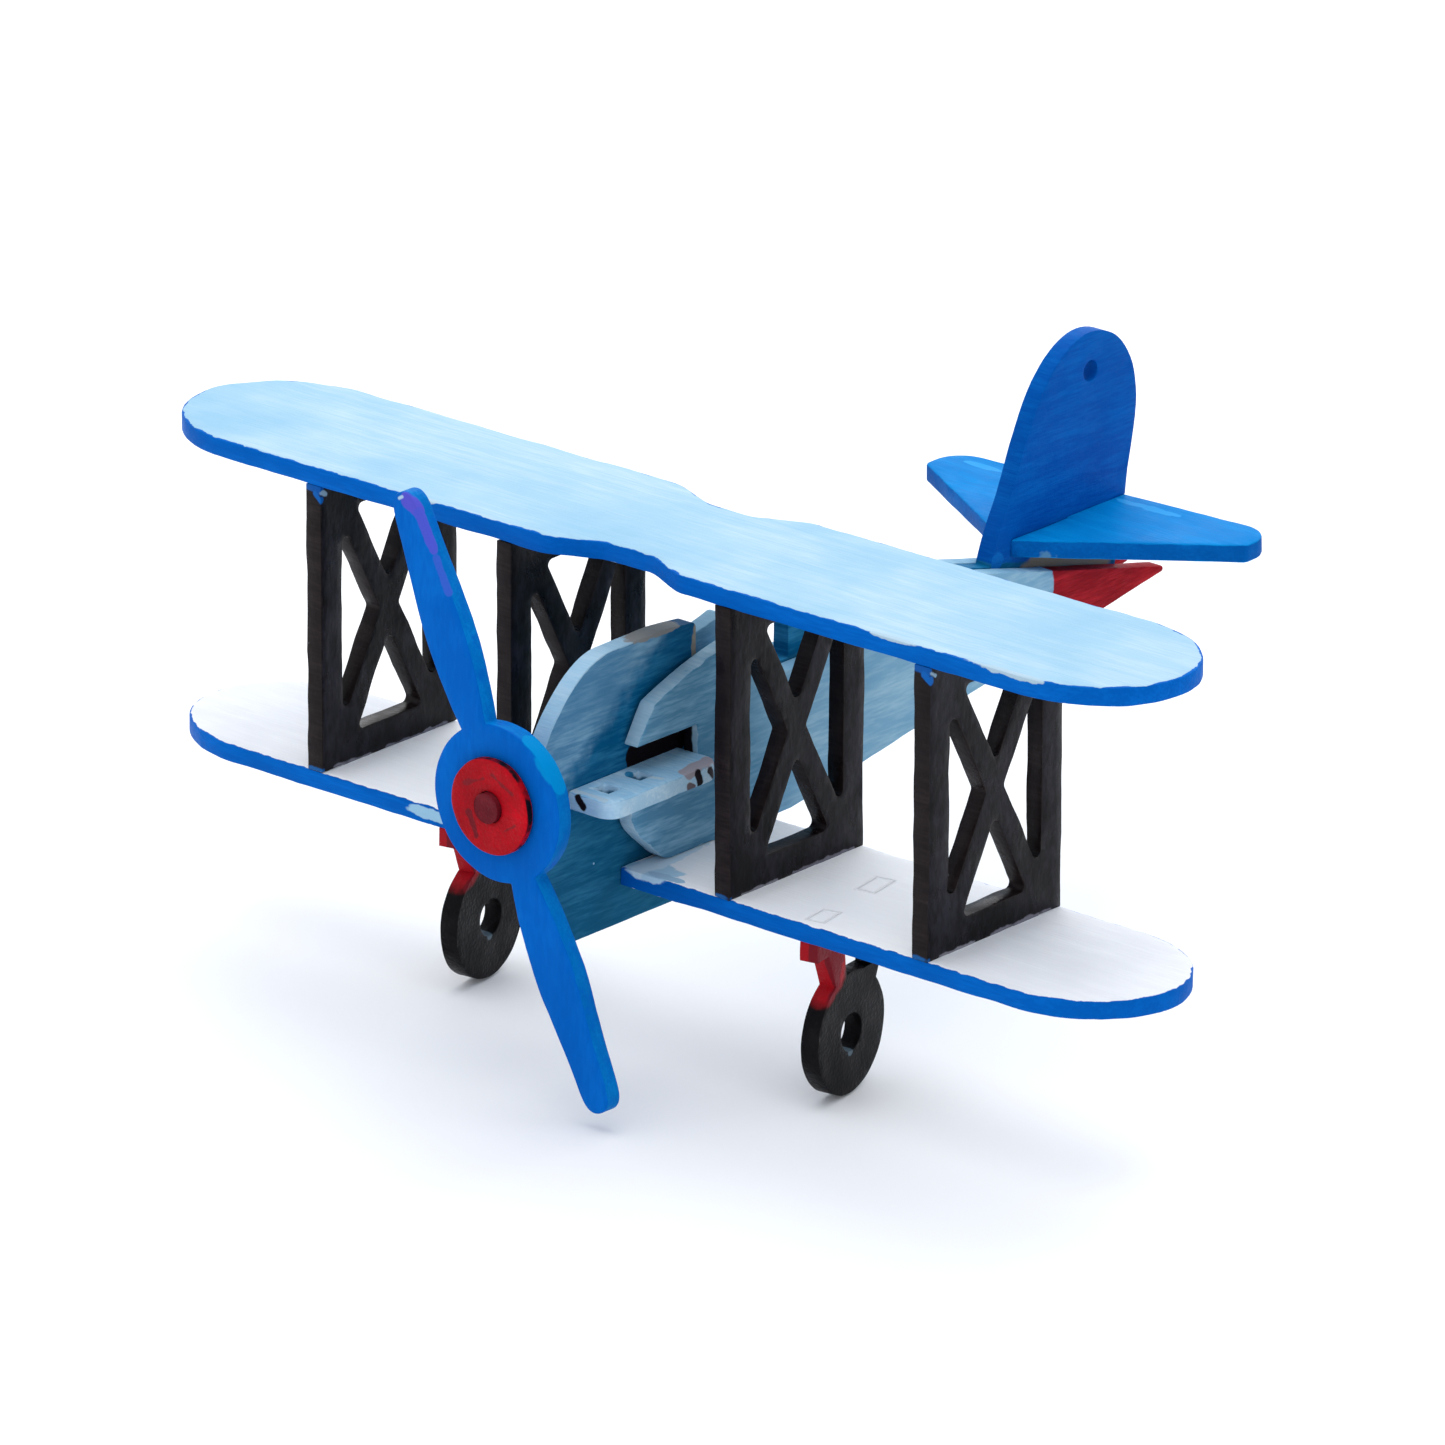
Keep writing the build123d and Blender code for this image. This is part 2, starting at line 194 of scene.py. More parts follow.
# %% [markdown]
# Tabs go right through the wings. On the real model filler and paint hide them, so the wings lose their
# slots and the tabs are cut off just below the surface. Only the outer wall is kept, and fill_holes closes
# it above and below. A bisect with a fill shortens the tabs. Of all the tabs only the landing gear's show
# through the paint later, as faint outlines on the lower wing.

# %% Hiding the tabs
SLOT_MARGIN = 1.5             # slots lie at least this far inside the wing's edges, in millimetres
SLOT_REACH = 70               # and none lies further than this from the middle, along X
FLAT_NORMAL = 0.5             # a face with more of its normal along Z than this is the top or the underside
TAB_LEFT = 2.2                # how far a shortened tab still reaches into a wing
GEAR_TAB_LEFT = 0.8           # the landing gear's tabs end this far below the lower wing's top


def close_slots(piece, nearest_x):
    """Keeps only a wing's outer wall and closes it again, so the tab slots beyond nearest_x are gone."""
    bpy.ops.object.mode_set(mode="EDIT")
    bpy.ops.mesh.select_mode(type="FACE")
    bpy.ops.mesh.select_all(action="DESELECT")
    bpy.ops.object.mode_set(mode="OBJECT")
    for face in piece.data.polygons:
        x, y = abs(face.center.x) / MM, (face.center.y - lead) / MM
        slot_wall = nearest_x < x < SLOT_REACH and SLOT_MARGIN < y < chord - SLOT_MARGIN
        face.select = abs(face.normal.z) > FLAT_NORMAL or slot_wall
    bpy.ops.object.mode_set(mode="EDIT")
    bpy.ops.mesh.delete(type="FACE")
    bpy.ops.mesh.select_mode(type="EDGE")
    bpy.ops.mesh.select_non_manifold()
    bpy.ops.mesh.fill_holes(sides=0)
    bpy.ops.mesh.select_all(action="SELECT")
    bpy.ops.mesh.normals_make_consistent(inside=False)
    bpy.ops.mesh.select_mode(type="VERT")
    bpy.ops.object.mode_set(mode="OBJECT")


def cut_tabs(piece, z, normal_z):
    """Removes what reaches past the height z, on the side that normal_z points to."""
    bpy.ops.object.mode_set(mode="EDIT")
    bpy.ops.mesh.select_all(action="SELECT")
    bpy.ops.mesh.bisect(plane_co=in_frame(0, 0, z), plane_no=(0, 0, normal_z), use_fill=True,
                        clear_outer=True)
    bpy.ops.object.mode_set(mode="OBJECT")


# %% [markdown]
# Brushwork follows a plate's edges: the rim colour laps over the corner by a ragged half millimetre. The
# shader can only know that distance if the mesh carries it. So each plate is bisected into small cells, and
# every vertex stores its distance to the nearest side wall, in millimetres, in an attribute called rim.

# %% Cells and the rim attribute
WALL_NORMAL = 0.3             # a face with less of its normal across the plate than this is a side wall


def slice_up(piece, axis, cell):
    """Bisects the piece into cells along one axis, 0 to 2."""
    reach = [v.co[axis] for v in piece.data.vertices]
    low, high = min(reach), max(reach)
    count = int((high - low) / (cell * MM))
    normal = [0, 0, 0]
    normal[axis] = 1
    bpy.ops.object.mode_set(mode="EDIT")
    for step in range(1, count + 1):
        place = [0, 0, 0]
        place[axis] = low + (high - low) * step / (count + 1)
        bpy.ops.mesh.select_all(action="SELECT")
        bpy.ops.mesh.bisect(plane_co=place, plane_no=normal)
    bpy.ops.object.mode_set(mode="OBJECT")


def measure_rim(piece, across):
    """Stores each vertex's distance to the plate's side walls. The plate lies across the given axis."""
    mesh = piece.data
    walls = [f.vertices[:] for f in mesh.polygons if abs(f.normal[across]) < WALL_NORMAL]
    tree = BVHTree.FromPolygons([v.co for v in mesh.vertices], walls)
    rim = mesh.attributes.new("rim", "FLOAT", "POINT")
    for vertex in mesh.vertices:
        rim.data[vertex.index].value = tree.find_nearest(vertex.co)[3] / MM


# %% [markdown]
# Nothing cut and sanded by hand is perfectly even. A Displace modifier with a soft cloud pattern moves the
# surface by about a tenth of a millimetre, which makes outlines waver slightly, like thick brushed paint.
# Then each piece gets its finish, rides on its CAD body, and the CAD part it copies is hidden.

# %% Unevenness and the finished piece
unevenness = bpy.data.textures.new("hand_cut_unevenness", "CLOUDS")
unevenness.noise_scale = 7 * MM
unevenness.noise_depth = 2


def waver(piece, amount):
    """Moves the surface in and out by up to about half the amount, in millimetres."""
    wave = piece.modifiers.new("hand cut", "DISPLACE")
    wave.texture, wave.strength, wave.mid_level = unevenness, amount * MM, 0.5
    wave.texture_coords = "LOCAL"
    bpy.ops.object.modifier_apply(modifier=wave.name)


def finish_plate(piece, node, across, cell, finish, body="airframe", amount=0.22):
    """Cells, rim distance, unevenness, smooth shading, finish, body and node of a softened plate."""
    for axis in (0, 1, 2):
        if axis != across:
            slice_up(piece, axis, cell)
    measure_rim(piece, across)
    waver(piece, amount)
    bpy.ops.object.shade_smooth_by_angle(angle=SHARP)
    piece.data.materials.append(finish)
    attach(piece, body)
    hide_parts(node)
    print(f"{piece.name}: {len(piece.data.polygons)} faces")


# %% [markdown]
# All the paint is water-based acrylic, brushed on in two thin coats. Dried acrylic has an IOR near 1.49 and
# a satin sheen. Brushed paint shows three things: long pale and dark streaks along the stroke, a fine relief
# of bristle lines, and a ragged border where it meets the next colour. The next cells build these three as
# patterns that every finish shares. A pattern's numbers are millimetres on the real surface.

# %% Patterns: place, streaks and masks
ACRYLIC_IOR = 1.49
RAGGED_SIZE = (2.6, 2.6, 2.6)   # how far apart the bays and capes of a ragged border are, in millimetres
BLOT_SOFT, STROKE_SOFT, RIM_SOFT = 0.1, 0.15, 0.06


def millimetres(tree):
    """The place on the surface in millimetres, from the lower wing's leading edge."""
    corner = (0, -lead / MM, -level / MM)
    place = add(tree, "TexCoord").outputs["Object"]
    return add(tree, "Mapping", {0: place, "Location": corner, "Scale": (1 / MM,) * 3}).outputs[0]


def streaks(tree, place, size, seed, detail=4.0):
    """Noise drawn out to the given size along X, Y and Z, in millimetres."""
    shrink = tuple(1 / s for s in size)
    drawn = add(tree, "Mapping", {0: place, "Location": (seed, seed * 2, seed * 3), "Scale": shrink})
    return add(tree, "TexNoise", {0: drawn.outputs[0], "Scale": 1.0, "Detail": detail}).outputs["Fac"]


def border(tree, height, ragged, seed, place, soft):
    """1 where height is above zero. The border wanders by the ragged amount and is softened a little."""
    wander = streaks(tree, place, RAGGED_SIZE, seed, 3.0)
    moved = add(tree, "Math", {0: wander, 1: -0.5, 2: 0.0}, operation="ADD").outputs[0]
    height = add(tree, "Math", {0: moved, 1: 2 * ragged, 2: height}, operation="MULTIPLY_ADD").outputs[0]
    edge = {0: height, 1: -soft, 2: soft, 3: 0.0, 4: 1.0}
    return add(tree, "MapRange", edge, interpolation_type="SMOOTHSTEP").outputs[0]


def beyond(tree, place, direction, start, ragged, soft, seed):
    """A mask of everything further than start along a direction."""
    along = add(tree, "VectorMath", {0: place, 1: direction}, operation="DOT_PRODUCT").outputs["Value"]
    height = add(tree, "Math", {0: along, 1: start}, operation="SUBTRACT").outputs[0]
    return border(tree, height, ragged, seed, place, soft)


def blot(tree, place, centre, radii, ragged, seed):
    """A mask of a rounded patch with a ragged outline."""
    moved = add(tree, "VectorMath", {0: place, 1: centre}, operation="SUBTRACT").outputs[0]
    scaled = add(tree, "VectorMath", {0: moved, 1: radii}, operation="DIVIDE").outputs[0]
    far = add(tree, "VectorMath", {0: scaled}, operation="LENGTH").outputs["Value"]
    height = add(tree, "Math", {0: 1.0, 1: far}, operation="SUBTRACT").outputs[0]
    return border(tree, height, ragged, seed, place, BLOT_SOFT)


# %% [markdown]
# A single stroke of another colour is a capsule: everything within half a brush's width of the line between
# two points. The point on that line nearest to each spot is found with a dot product, held between 0 and 1.

# %% One stroke
def single_stroke(tree, place, start, end, half_width, ragged, seed):
    """A mask of one brush stroke from start to end."""
    way = Vector(end) - Vector(start)
    from_start = add(tree, "VectorMath", {0: place, 1: start}, operation="SUBTRACT").outputs[0]
    share = {0: from_start, 1: tuple(way / way.length_squared)}
    along = add(tree, "VectorMath", share, operation="DOT_PRODUCT").outputs["Value"]
    held = add(tree, "Clamp", {0: along}).outputs[0]
    foot = add(tree, "VectorMath", {0: tuple(way), "Scale": held}, operation="SCALE").outputs[0]
    far = add(tree, "VectorMath", {0: from_start, 1: foot}, operation="DISTANCE").outputs["Value"]
    height = add(tree, "Math", {0: half_width, 1: far}, operation="SUBTRACT").outputs[0]
    return border(tree, height, ragged, seed, place, STROKE_SOFT)


# %% [markdown]
# A finish starts from three shades of one paint, mixed by the streaks. Zones then repaint what lies beyond a
# line, the rim colour laps over the corners, and blots are the dabs, smears and bare spots of hand painting.
# Tiny specks of another brush's paint are a Voronoi pattern of which only a few cells show. Each pattern
# adds a number of its own to the finish's seed, so that no two of them line up. A tab's outline is a groove
# in the height that feeds the bump.

# %% The brushed acrylic finish
FINER, FINEST = 7, 0.45                # fine streaks are this many times smaller, down to a size in mm
LONG_PART, FINE_PART = 0.55, 0.45      # how much the long and the fine streaks count
CLOUD_SIZE = (22, 22, 22)              # soft clouds of the dark shade, in millimetres
PALE_RANGE = (0.44, 0.64)              # streak values over which the light shade comes in
DEEP_RANGE, DEEPEST = (0.45, 0.75), 0.8   # cloud values over which the dark shade comes in, and its most
RIM_STROKE = (30, 3, 3)
SPECK_CELLS = 0.16                     # Voronoi cells per millimetre
SPECK_RADIUS, SPECK_SHARE = 0.035, 0.35   # a speck's radius in cells, and the share of cells that have one
SHEEN_SIZE, SHEEN_RANGE = (6, 6, 6), (0.3, 0.7)
BRISTLES, BRISTLE_FINEST = 9, 0.35     # bristle lines are this many times finer than the streaks
LUMP_SIZE, LUMP_PART = (3, 3, 3), 1.2
GROOVE_WIDTH, GROOVE_DEPTH = 0.35, 3.5


def brush(tree, place, shades, stroke, seed):
    """Three shades of one paint, dark, middle and light, mixed along the strokes."""
    dark, middle, light = (paint(s) for s in shades)
    long_streaks = streaks(tree, place, stroke, seed)
    fine = streaks(tree, place, tuple(max(s / FINER, FINEST) for s in stroke), seed + 2, 2.0)
    part = add(tree, "Math", {0: fine, 1: FINE_PART}, operation="MULTIPLY").outputs[0]
    mixed = add(tree, "Math", {0: long_streaks, 1: LONG_PART, 2: part}, operation="MULTIPLY_ADD").outputs[0]
    cloud = streaks(tree, place, CLOUD_SIZE, seed + 5, 2.0)
    pale = add(tree, "MapRange", {0: mixed, 1: PALE_RANGE[0], 2: PALE_RANGE[1], 3: 0.0, 4: 1.0}).outputs[0]
    clouded = {0: cloud, 1: DEEP_RANGE[0], 2: DEEP_RANGE[1], 3: 0.0, 4: DEEPEST}
    deep = add(tree, "MapRange", clouded).outputs[0]
    lit = add(tree, "Mix", {0: pale, 6: middle, 7: light}, data_type="RGBA").outputs[2]
    return add(tree, "Mix", {0: deep, 6: lit, 7: dark}, data_type="RGBA").outputs[2]


def lay_zones(tree, place, colour, zones, stroke, seed):
    """Repaints what lies beyond each zone's line."""
    for number, (direction, start, ragged, soft, shades) in enumerate(zones):
        mask = beyond(tree, place, direction, start, ragged, soft, seed + number)
        zone = brush(tree, place, shades, stroke, seed + 10 + number)
        colour = add(tree, "Mix", {0: mask, 6: colour, 7: zone}, data_type="RGBA").outputs[2]
    return colour


def lay_rim(tree, place, colour, rim, seed):
    """Lets the rim's paint lap over the plate's corners."""
    shades, lap, ragged = rim
    distance = add(tree, "Attribute", attribute_name="rim").outputs["Fac"]
    height = add(tree, "Math", {0: lap, 1: distance}, operation="SUBTRACT").outputs[0]
    mask = border(tree, height, ragged, seed, place, RIM_SOFT)
    lap_colour = brush(tree, place, shades, RIM_STROKE, seed + 1)
    return add(tree, "Mix", {0: mask, 6: colour, 7: lap_colour}, data_type="RGBA").outputs[2]


def acrylic(name, shades, stroke, seed, under_zones=(), rim=None, zones=(), blots=(), strokes=(), outlines=(),
            specks=None, roughness=(0.38, 0.58), relief=0.07, satin=0.02):
    """A brushed acrylic paint. Strokes, zones, blots and outlines are in millimetres."""
    material = bpy.data.materials.new(name)
    material.use_nodes = True
    tree = material.node_tree
    shader = tree.nodes["Principled BSDF"]
    place = millimetres(tree)
    colour = brush(tree, place, shades, stroke, seed)
    colour = lay_zones(tree, place, colour, under_zones, stroke, seed + 51)
    if rim:
        colour = lay_rim(tree, place, colour, rim, seed + 31)
    colour = lay_zones(tree, place, colour, zones, stroke, seed + 11)
    for number, (centre, radii, ragged, shade) in enumerate(blots):
        mask = blot(tree, place, centre, radii, ragged, seed + 41 + number)
        colour = add(tree, "Mix", {0: mask, 6: colour, 7: paint(shade)}, data_type="RGBA").outputs[2]
    for number, (start, end, half_width, ragged, shade) in enumerate(strokes):
        mask = single_stroke(tree, place, start, end, half_width, ragged, seed + 81 + number)
        colour = add(tree, "Mix", {0: mask, 6: colour, 7: paint(shade)}, data_type="RGBA").outputs[2]
    if specks:
        cells = add(tree, "TexVoronoi", {0: place, "Scale": SPECK_CELLS})
        distance = cells.outputs["Distance"]
        near = add(tree, "Math", {0: distance, 1: SPECK_RADIUS}, operation="LESS_THAN").outputs[0]
        chance = cells.outputs["Color"]
        luck = add(tree, "Math", {0: chance, 1: SPECK_SHARE}, operation="LESS_THAN").outputs[0]
        both = add(tree, "Math", {0: near, 1: luck}, operation="MULTIPLY").outputs[0]
        colour = add(tree, "Mix", {0: both, 6: colour, 7: paint(specks)}, data_type="RGBA").outputs[2]
    tree.links.new(colour, shader.inputs["Base Color"])
    sheen = streaks(tree, place, SHEEN_SIZE, seed + 3)
    sheen_span = {0: sheen, 1: SHEEN_RANGE[0], 2: SHEEN_RANGE[1], 3: roughness[0], 4: roughness[1]}
    rough = add(tree, "MapRange", sheen_span).outputs[0]
    tree.links.new(rough, shader.inputs["Roughness"])
    shader.inputs["IOR"].default_value = ACRYLIC_IOR
    shader.inputs["Specular IOR Level"].default_value = satin
    bristles = streaks(tree, place, tuple(max(s / BRISTLES, BRISTLE_FINEST) for s in stroke), seed + 7)
    lumps = streaks(tree, place, LUMP_SIZE, seed + 8, 3.0)
    height = add(tree, "Math", {0: lumps, 1: LUMP_PART, 2: bristles}, operation="MULTIPLY_ADD").outputs[0]
    for centre, half, turn in outlines:
        moved = add(tree, "VectorMath", {0: place, 1: centre}, operation="SUBTRACT").outputs[0]
        turned = add(tree, "VectorRotate", {0: moved, "Angle": -turn}, rotation_type="Z_AXIS").outputs[0]
        size = add(tree, "VectorMath", {0: turned}, operation="ABSOLUTE").outputs[0]
        past = add(tree, "VectorMath", {0: size, 1: half}, operation="SUBTRACT").outputs[0]
        parts = add(tree, "SeparateXYZ", {0: past})
        wide = add(tree, "Math", {0: parts.outputs[0], 1: parts.outputs[1]}, operation="MAXIMUM").outputs[0]
        away = add(tree, "Math", {0: wide}, operation="ABSOLUTE").outputs[0]
        line = add(tree, "MapRange", {0: away, 1: 0.0, 2: GROOVE_WIDTH, 3: GROOVE_DEPTH, 4: 0.0}).outputs[0]
        height = add(tree, "Math", {0: height, 1: line}, operation="SUBTRACT").outputs[0]
    bump = add(tree, "Bump", {"Height": height, "Distance": relief * MM, "Strength": 1.0})
    tree.links.new(bump.outputs[0], shader.inputs["Normal"])
    print(f"{name}: {len(tree.nodes)} nodes")
    return material


# %% [markdown]
# The upper wing is the largest surface and sets the whole impression: a very pale blue, brushed from tip to
# tip, with a strong blue rim. Its streaks are 60 mm long and 2 mm wide.

# %% Upper wing
RIM_BLUE = ("0053a6", "005cb5", "0368c4")
FRAME_X = tuple(sum(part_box(n)[i].x for i in (0, 1)) / 2 / MM for n in
                ("strut_frame_starboard_outer", "strut_frame_starboard_inner",
                 "strut_frame_port_inner", "strut_frame_port_outer"))

pale_blue = acrylic("pale_blue_acrylic_on_birch_ply", ("88b5cf", "9dc0d5", "b0cad8"), (60, 2.2, 2.2), 1,
                    rim=(RIM_BLUE, 0.45, 0.55),
                    blots=[((78, 0.3, wing_top), (7, 0.8, 0.7), 0.8, "a9c2d1"),
                           ((55, 0.3, wing_top), (5, 0.7, 0.6), 0.8, "a9c2d1"),
                           ((-40, 0.3, wing_top), (4, 0.7, 0.6), 0.8, "a9c2d1")])
upper_wing = take_plate("upper_wing")
close_slots(upper_wing, 15)
soften(upper_wing)
finish_plate(upper_wing, "upper_wing", 2, 1.8, pale_blue, amount=0.4)

# %% [markdown]
# The lower wing has the same rim and a white top, a little grey where the brush ran dry, with light blue
# smudges where the fuselage was painted afterwards. The landing gear's tabs show as faint turned outlines.

# %% Lower wing
GEAR_TURN = math.radians(9.5)
GEAR_X = {"port": 37.3, "starboard": -35.7}
GEAR_TABS = ((4.5, 5.0), (19.8, 6.0))   # each tab's middle along y, and its length
GEAR_TAB_HALF = (1.55, 9)               # half of an outline's width, and half of its depth
WHEEL_Y = 10.4


def gear_outline(x, y, length):
    """A landing gear tab's outline: its centre turned about the wheel's place, its half size and its turn."""
    away = y - WHEEL_Y
    centre = (x - away * math.sin(GEAR_TURN), WHEEL_Y + away * math.cos(GEAR_TURN), 0)
    return centre, (GEAR_TAB_HALF[0], length / 2, GEAR_TAB_HALF[1]), GEAR_TURN


TIP_WHITES = ("dfe0e5", "e8e9ed", "eeeff2")
off_white = acrylic("off_white_acrylic_on_birch_ply", ("f2f3f7", "fafafc", "fefeff"), (45, 2.2, 2.2), 60,
                    rim=(RIM_BLUE, 0.4, 0.5),
                    under_zones=[((side, 0, 0), 60, 1, 4, TIP_WHITES) for side in (-1, 1)],
                    blots=[((6.5, 2.0, 0), (5, 3.2, 1.5), 0.5, "b9d9ec"),
                           ((4.5, 8.0, 0), (2.2, 9, 1.5), 0.5, "d8eaf5"),
                           ((-6.5, 4.0, 0), (4, 6, 1.5), 0.5, "c2dff0"),
                           ((10, 1.2, 0), (4, 0.9, 1.5), 0.8, "a8c8de"),
                           ((-37.5, -0.4, -1.2), (4.5, 1.6, 1.0), 0.6, "98c2db")],
                    outlines=[gear_outline(x, *tab) for x in GEAR_X.values() for tab in GEAR_TABS])
lower_wing = take_plate("lower_wing")
close_slots(lower_wing, 2)
soften(lower_wing)
finish_plate(lower_wing, "lower_wing", 2, 1.8, off_white, amount=0.4)

# %% [markdown]
# The strut frames are painted black, thick and glossy, with brown where the coat is thin on the narrow
# edges. Blue from the wings' rims strays onto the front top corner of each frame, and a pale dab onto its
# foot. One loop makes all four, and each has its own finish, so that the dabs differ.

# %% Strut frames
BLACKS = ("040305", "0a090c", "23212a")
EDGE_BLACKS = ("0f0c0b", "191314", "272020")
for number, side in enumerate(("starboard_outer", "starboard_inner", "port_inner", "port_outer")):
    node = "strut_frame_" + side
    x = FRAME_X[number]
    stray_blue = [((x - 2, -0.1, wing_under - 0.2), (x + 2, -0.1, wing_under - 0.6), 0.7, 0.5, "004f9b"),
                  ((x + 0.4, -0.1, wing_under - 1.2), (x + 1.5, 0.2, wing_under - 2.2), 0.5, 0.5, "005aaa"),
                  ((x + 1.5, 0.3, wing_under - 0.9), (x + 1.5, 1.3, wing_under - 1.5), 0.2, 0.6, "86a2b6"),
                  ((x - 1, 0, 0.3), (x + 1.4, 0.3, 0.3), 0.35, 0.5, "115694")]
    scuffs = [((x + 1.6, 3, 0.1), (x + 1.6, 11, 0.1), 0.3, 0.6, "7f7e87"),
              ((x + 1.6, 15, 0.1), (x + 1.6, 29, 0.2), 0.35, 0.7, "71707b")]
    black = acrylic("gloss_black_acrylic_" + side, BLACKS, (7, 7, 16), 100 + 60 * number,
                    rim=(EDGE_BLACKS, 0.25, 0.5), specks="565a63", roughness=(0.2, 0.5),
                    strokes=stray_blue[0 if "outer" in side else 3:] + scuffs, satin=0.1)
    strut = take_plate(node)
    cut_tabs(strut, wing_under + TAB_LEFT, 1)
    cut_tabs(strut, -TAB_LEFT, -1)
    soften(strut, 0.3)
    finish_plate(strut, node, 0, 1.6, black, amount=0.5)

# %% [markdown]
# The centre plate is nose, keel, cowl, spine and fin in one, in light blue, with a blue fin. A slanted line
# just above the spine divides the two paints. The fin's blue is painted darker than the tailplane's, a
# painted shade on its upright sides. The cowl is painted teal lower down and further back, and the keel below
# the
# deck a deeper teal: both are painted shade. A dark stroke on each face above the deck is a painted shadow in
# the recess there. Under the tailplane the brush could not reach, and bare birch shows, greyish brown,
# darkened as a painted shade. The top edges caught more paint, and are painted paler as a painted highlight
# where they face up.

# %% Centre plate
SLATE_BLUES = ("447aa0", "5a8caf", "8ab6cf")
SHADED_COWL_TEALS = ("004a74", "065c88", "2f7ea8")
SHADED_KEEL_TEALS = ("0a4c6c", "135c80", "2c7498")
PALE_EDGES = ("85b1cb", "9dc1d6", "b6cfde")
SHADED_FIN_BLUES = ("004898", "004fa3", "035eb1")
SPINE_SLOPE = 0.242
SHADED_BARE_BIRCH = "81786b"
centre_paint = acrylic("light_blue_acrylic_centre", SLATE_BLUES, (26, 26, 2.4), 400,
                       # the paler rim: more paint, and a painted highlight on the top edges
                       rim=(PALE_EDGES, 0.2, 0.35),
                       # the two teal zones are painted shade on the cowl and the keel; the fin's darker blue
                       # is paint and painted shade
                       zones=[((0, 0.8, -1), -27, 3, 3, SHADED_COWL_TEALS), ((0, 0, -1), -11, 2, 3, SHADED_KEEL_TEALS),
                              ((0, SPINE_SLOPE, 1), 46.4, 0.4, 0.2, SHADED_FIN_BLUES)],
                       # a dark stroke on each face: painted shadow in the recess above the deck
                       strokes=[((s * 1.5, 4, 17.0), (s * 1.5, 13, 17.4), 2.6, 0.5, "150f13")
                                for s in (-1, 1)],
                       specks="90bcd9", relief=0.09,
                       # the first blot is bare birch, darkened as a painted shade under the tailplane
                       blots=[((0, 104.5, 18), (8, 12.5, 6.2), 0.25, SHADED_BARE_BIRCH),
                              ((0, 17.6, 31), (3, 1.2, 3.6), 0.6, "978d80"),
                              ((0, 9, 35.4), (3, 6, 0.7), 0.6, "8c8b89"),
                              ((1.5, 89.5, 25), (2.2, 1.5, 1.4), 0.5, "0864b5")])
centre = take_plate("centre_plate")
soften(centre)
finish_plate(centre, "centre_plate", 0, 1.8, centre_paint)

# %% [markdown]
# The two fuselage sides are light blue too, nearly white along their top edges, and red at the tail. The red
# starts at a ragged upright line, near the tailplane. The near-white top edges are a painted highlight where
# they face up. Behind the upper wing the sides are painted lighter, painted light where the wing's shadow
# ends, and a dark stroke on the rear wall of the opening above the deck is a painted shadow.

# %% Fuselage sides
SIDE_BLUES = ("477e9f", "5c92b3", "8cbbd6")
LIT_REAR_BLUES = ("5f90ae", "75a1bc", "92b7ca")
TAIL_REDS = ("6f0f17", "8a141e", "ae222c")
RED_START = 99.0
for side, sign, seed in (("port", 1, 500), ("starboard", -1, 560)):
    node = "fuselage_side_" + side
    side_paint = acrylic("light_blue_acrylic_" + side, SIDE_BLUES, (26, 26, 2.4), seed,
                         # the pale rim: painted highlight on the top edges
                         rim=(("81a9c2", "96bacd", "b1cbd9"), 0.25, 0.5),
                         # the first zone is painted light behind the upper wing's shadow; the second is the
                         # red paint
                         zones=[((0, 1, 0.3), 34, 5, 8, LIT_REAR_BLUES),
                                ((0, 1, 0), RED_START, 0.7, 0.2, TAIL_REDS)],
                         # painted shadow on the rear wall of the opening above the deck
                         strokes=[((sign * 2.6, 14, 15), (sign * 2.6, 14, 20), 1.3, 0.4, "18161c")],
                         relief=0.1,
                         blots=[((0, 30, 33), (8, 2.5, 1.0), 0.5, "d3dbe1")])
    plate = take_plate(node)
    cut_tabs(plate, -TAB_LEFT, -1)
    soften(plate)
    finish_plate(plate, node, 0, 1.8, side_paint)

# %% [markdown]
# The engine deck is the palest of the blue parts. Paint has run into its square holes, and their walls are
# painted dark blue, a painted shade. The laser's scorch marks show through in a few places on its edges,
# nearly black. Its edges are painted paler, and a pale stroke beside the rear hole is a painted highlight.

# %% Engine deck
deck_paint = acrylic("light_blue_acrylic_deck", ("7fb6d8", "99c6e2", "bcdcee"), (14, 2.4, 2.4), 620,
                     # the paler rim: painted highlight on the edges
                     rim=(("94c2de", "aed3ea", "c8e2f2"), 0.3, 0.5), relief=0.1,
                     # dark blue inside the holes: painted shade on their walls
                     blots=[((x, y, 13.6), (2.0, 2.0, 1.7), 0.2, "346787")
                            for x in (-4.7, 4.7) for y in (-6.8, 0.8)],
                     strokes=[((3.3, -11.7, 15.0), (4.4, -11.7, 13.8), 0.6, 0.5, "1e161a"),
                              ((9.2, 6.5, 15.5), (8.4, 13, 15.5), 1.2, 0.8, "a69fa8"),
                              ((10, 8.4, 14.8), (10, 9.0, 13.2), 0.7, 0.6, "1f191e"),
                              ((10, 6.6, 13.2), (10, 7.4, 12.8), 0.6, 0.6, "71656a"),
                              ((10, 11.2, 14.6), (10, 12.4, 13.2), 0.6, 0.6, "373237"),
                              # darker blue in the rear hole is painted shade, the pale stroke after it a
                              # painted highlight
                              ((3.4, 0.4, 15.4), (5.0, 1.0, 15.0), 0.9, 0.5, "3082b0"),
                              ((6.0, 0.8, 15.5), (8.4, 1.6, 15.5), 0.6, 0.6, "b5cddb"),
                              ((-3, -10.8, 15.5), (8, -10.8, 15.5), 0.5, 0.6, "b1cad9")])
deck = take_plate("engine_deck")
soften(deck, 0.5)
finish_plate(deck, "engine_deck", 2, 1.2, deck_paint, amount=0.35)

# %% [markdown]
# The tailplane is a clear, strong blue with a few pale smears where a light brush touched it. Its edges are
# painted a darker blue, a painted shade on its upright faces.

